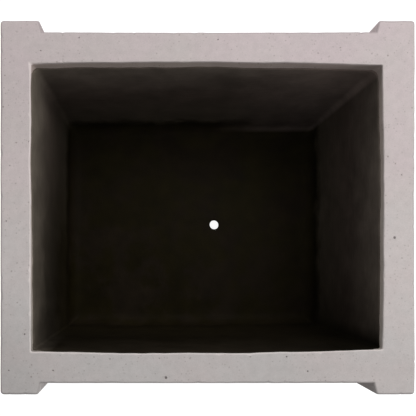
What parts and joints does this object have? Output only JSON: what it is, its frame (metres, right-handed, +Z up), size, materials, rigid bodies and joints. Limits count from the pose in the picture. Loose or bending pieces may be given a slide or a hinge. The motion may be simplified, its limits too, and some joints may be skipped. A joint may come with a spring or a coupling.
{
  "type": "bonsai pot",
  "caption": "Deep rectangular cast stone bonsai pot, open at the top, with corner posts proud of the front and back that run down as feet, a black sealed inside and a drain hole.",
  "frame": {"origin": "centre of the resting surface, under the middle of the pot", "axes": "+X to the right along the long side, +Y to the back, +Z up out of the mouth"},
  "size_m": [0.4, 0.361, 0.255],
  "materials": {
    "cast_stone": "matte",
    "sealer": "satin",
    "galvanised_wire": "satin",
    "rubber": "matte"
  },
  "bodies": {
    "root": {"cast_body": "cast_stone", "sealer_coat": "sealer", "rim_hoop": "galvanised_wire", "waist_hoop": "galvanised_wire", "base_hoop": "galvanised_wire", "floor_mesh": "galvanised_wire", "tie_wires": "galvanised_wire", "corner_bar_front_left": "galvanised_wire", "corner_bar_front_right": "galvanised_wire", "corner_bar_back_left": "galvanised_wire", "corner_bar_back_right": "galvanised_wire", "foot_pad_front_left": "rubber", "foot_pad_front_right": "rubber", "foot_pad_back_left": "rubber", "foot_pad_back_right": "rubber"}
  },
  "joints": []
}
